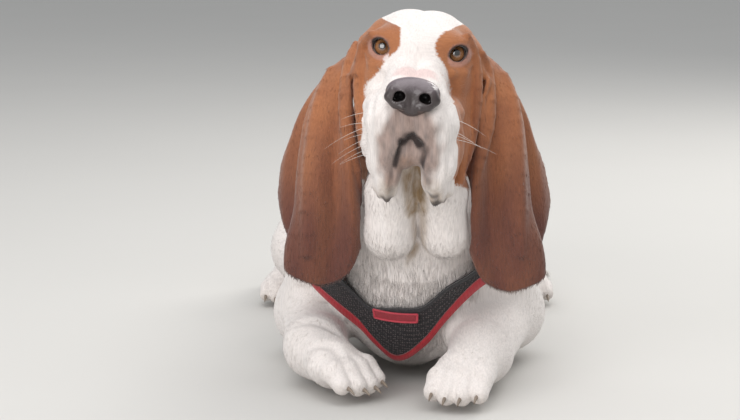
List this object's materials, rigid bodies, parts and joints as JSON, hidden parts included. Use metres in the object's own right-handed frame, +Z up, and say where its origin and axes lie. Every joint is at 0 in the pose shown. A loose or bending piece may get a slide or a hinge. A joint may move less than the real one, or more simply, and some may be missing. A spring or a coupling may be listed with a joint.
{
  "type": "basset hound, life-size model, lying with its head raised, in a chest harness",
  "caption": "Life-size still model of a basset hound lying on its chest with its head raised, long folded ears and a loose throat, wearing a mesh chest harness.",
  "frame": {"origin": "on the floor, below the middle of the whole hound's box", "axes": "+Z up; the hound faces -Y and its left side is +X"},
  "size_m": [0.3718, 0.902, 0.4124],
  "materials": {
    "white_coat": "short flat fur, white with red-brown markings",
    "red_coat": "short flat fur, red-brown",
    "eye": "wet, amber-brown",
    "nose_leather": "finely pebbled, moist",
    "mesh_fabric": "black knitted air mesh",
    "red_binding": "woven red tape",
    "steel": "bright wire",
    "black_plastic": "moulded side-release buckles"
  },
  "bodies": {
    "root": {"head": "white_coat", "neck": "white_coat", "torso": "white_coat", "tail": "red_coat", "ear_left": "red_coat", "ear_right": "red_coat", "eye_left": "eye", "eye_right": "eye", "nose": "nose_leather", "foreleg_left": "white_coat", "foreleg_right": "white_coat", "forepaw_left": "white_coat", "forepaw_right": "white_coat", "hindleg_left": "white_coat", "hindleg_right": "white_coat", "hindpaw_left": "white_coat", "hindpaw_right": "white_coat", "harness_vest": "mesh_fabric", "harness_girth": "mesh_fabric", "harness_back": "mesh_fabric", "harness_trim": "red_binding", "harness_label": "red_binding", "harness_ring": "steel", "buckle_left": "black_plastic", "buckle_right": "black_plastic"}
  },
  "joints": []
}
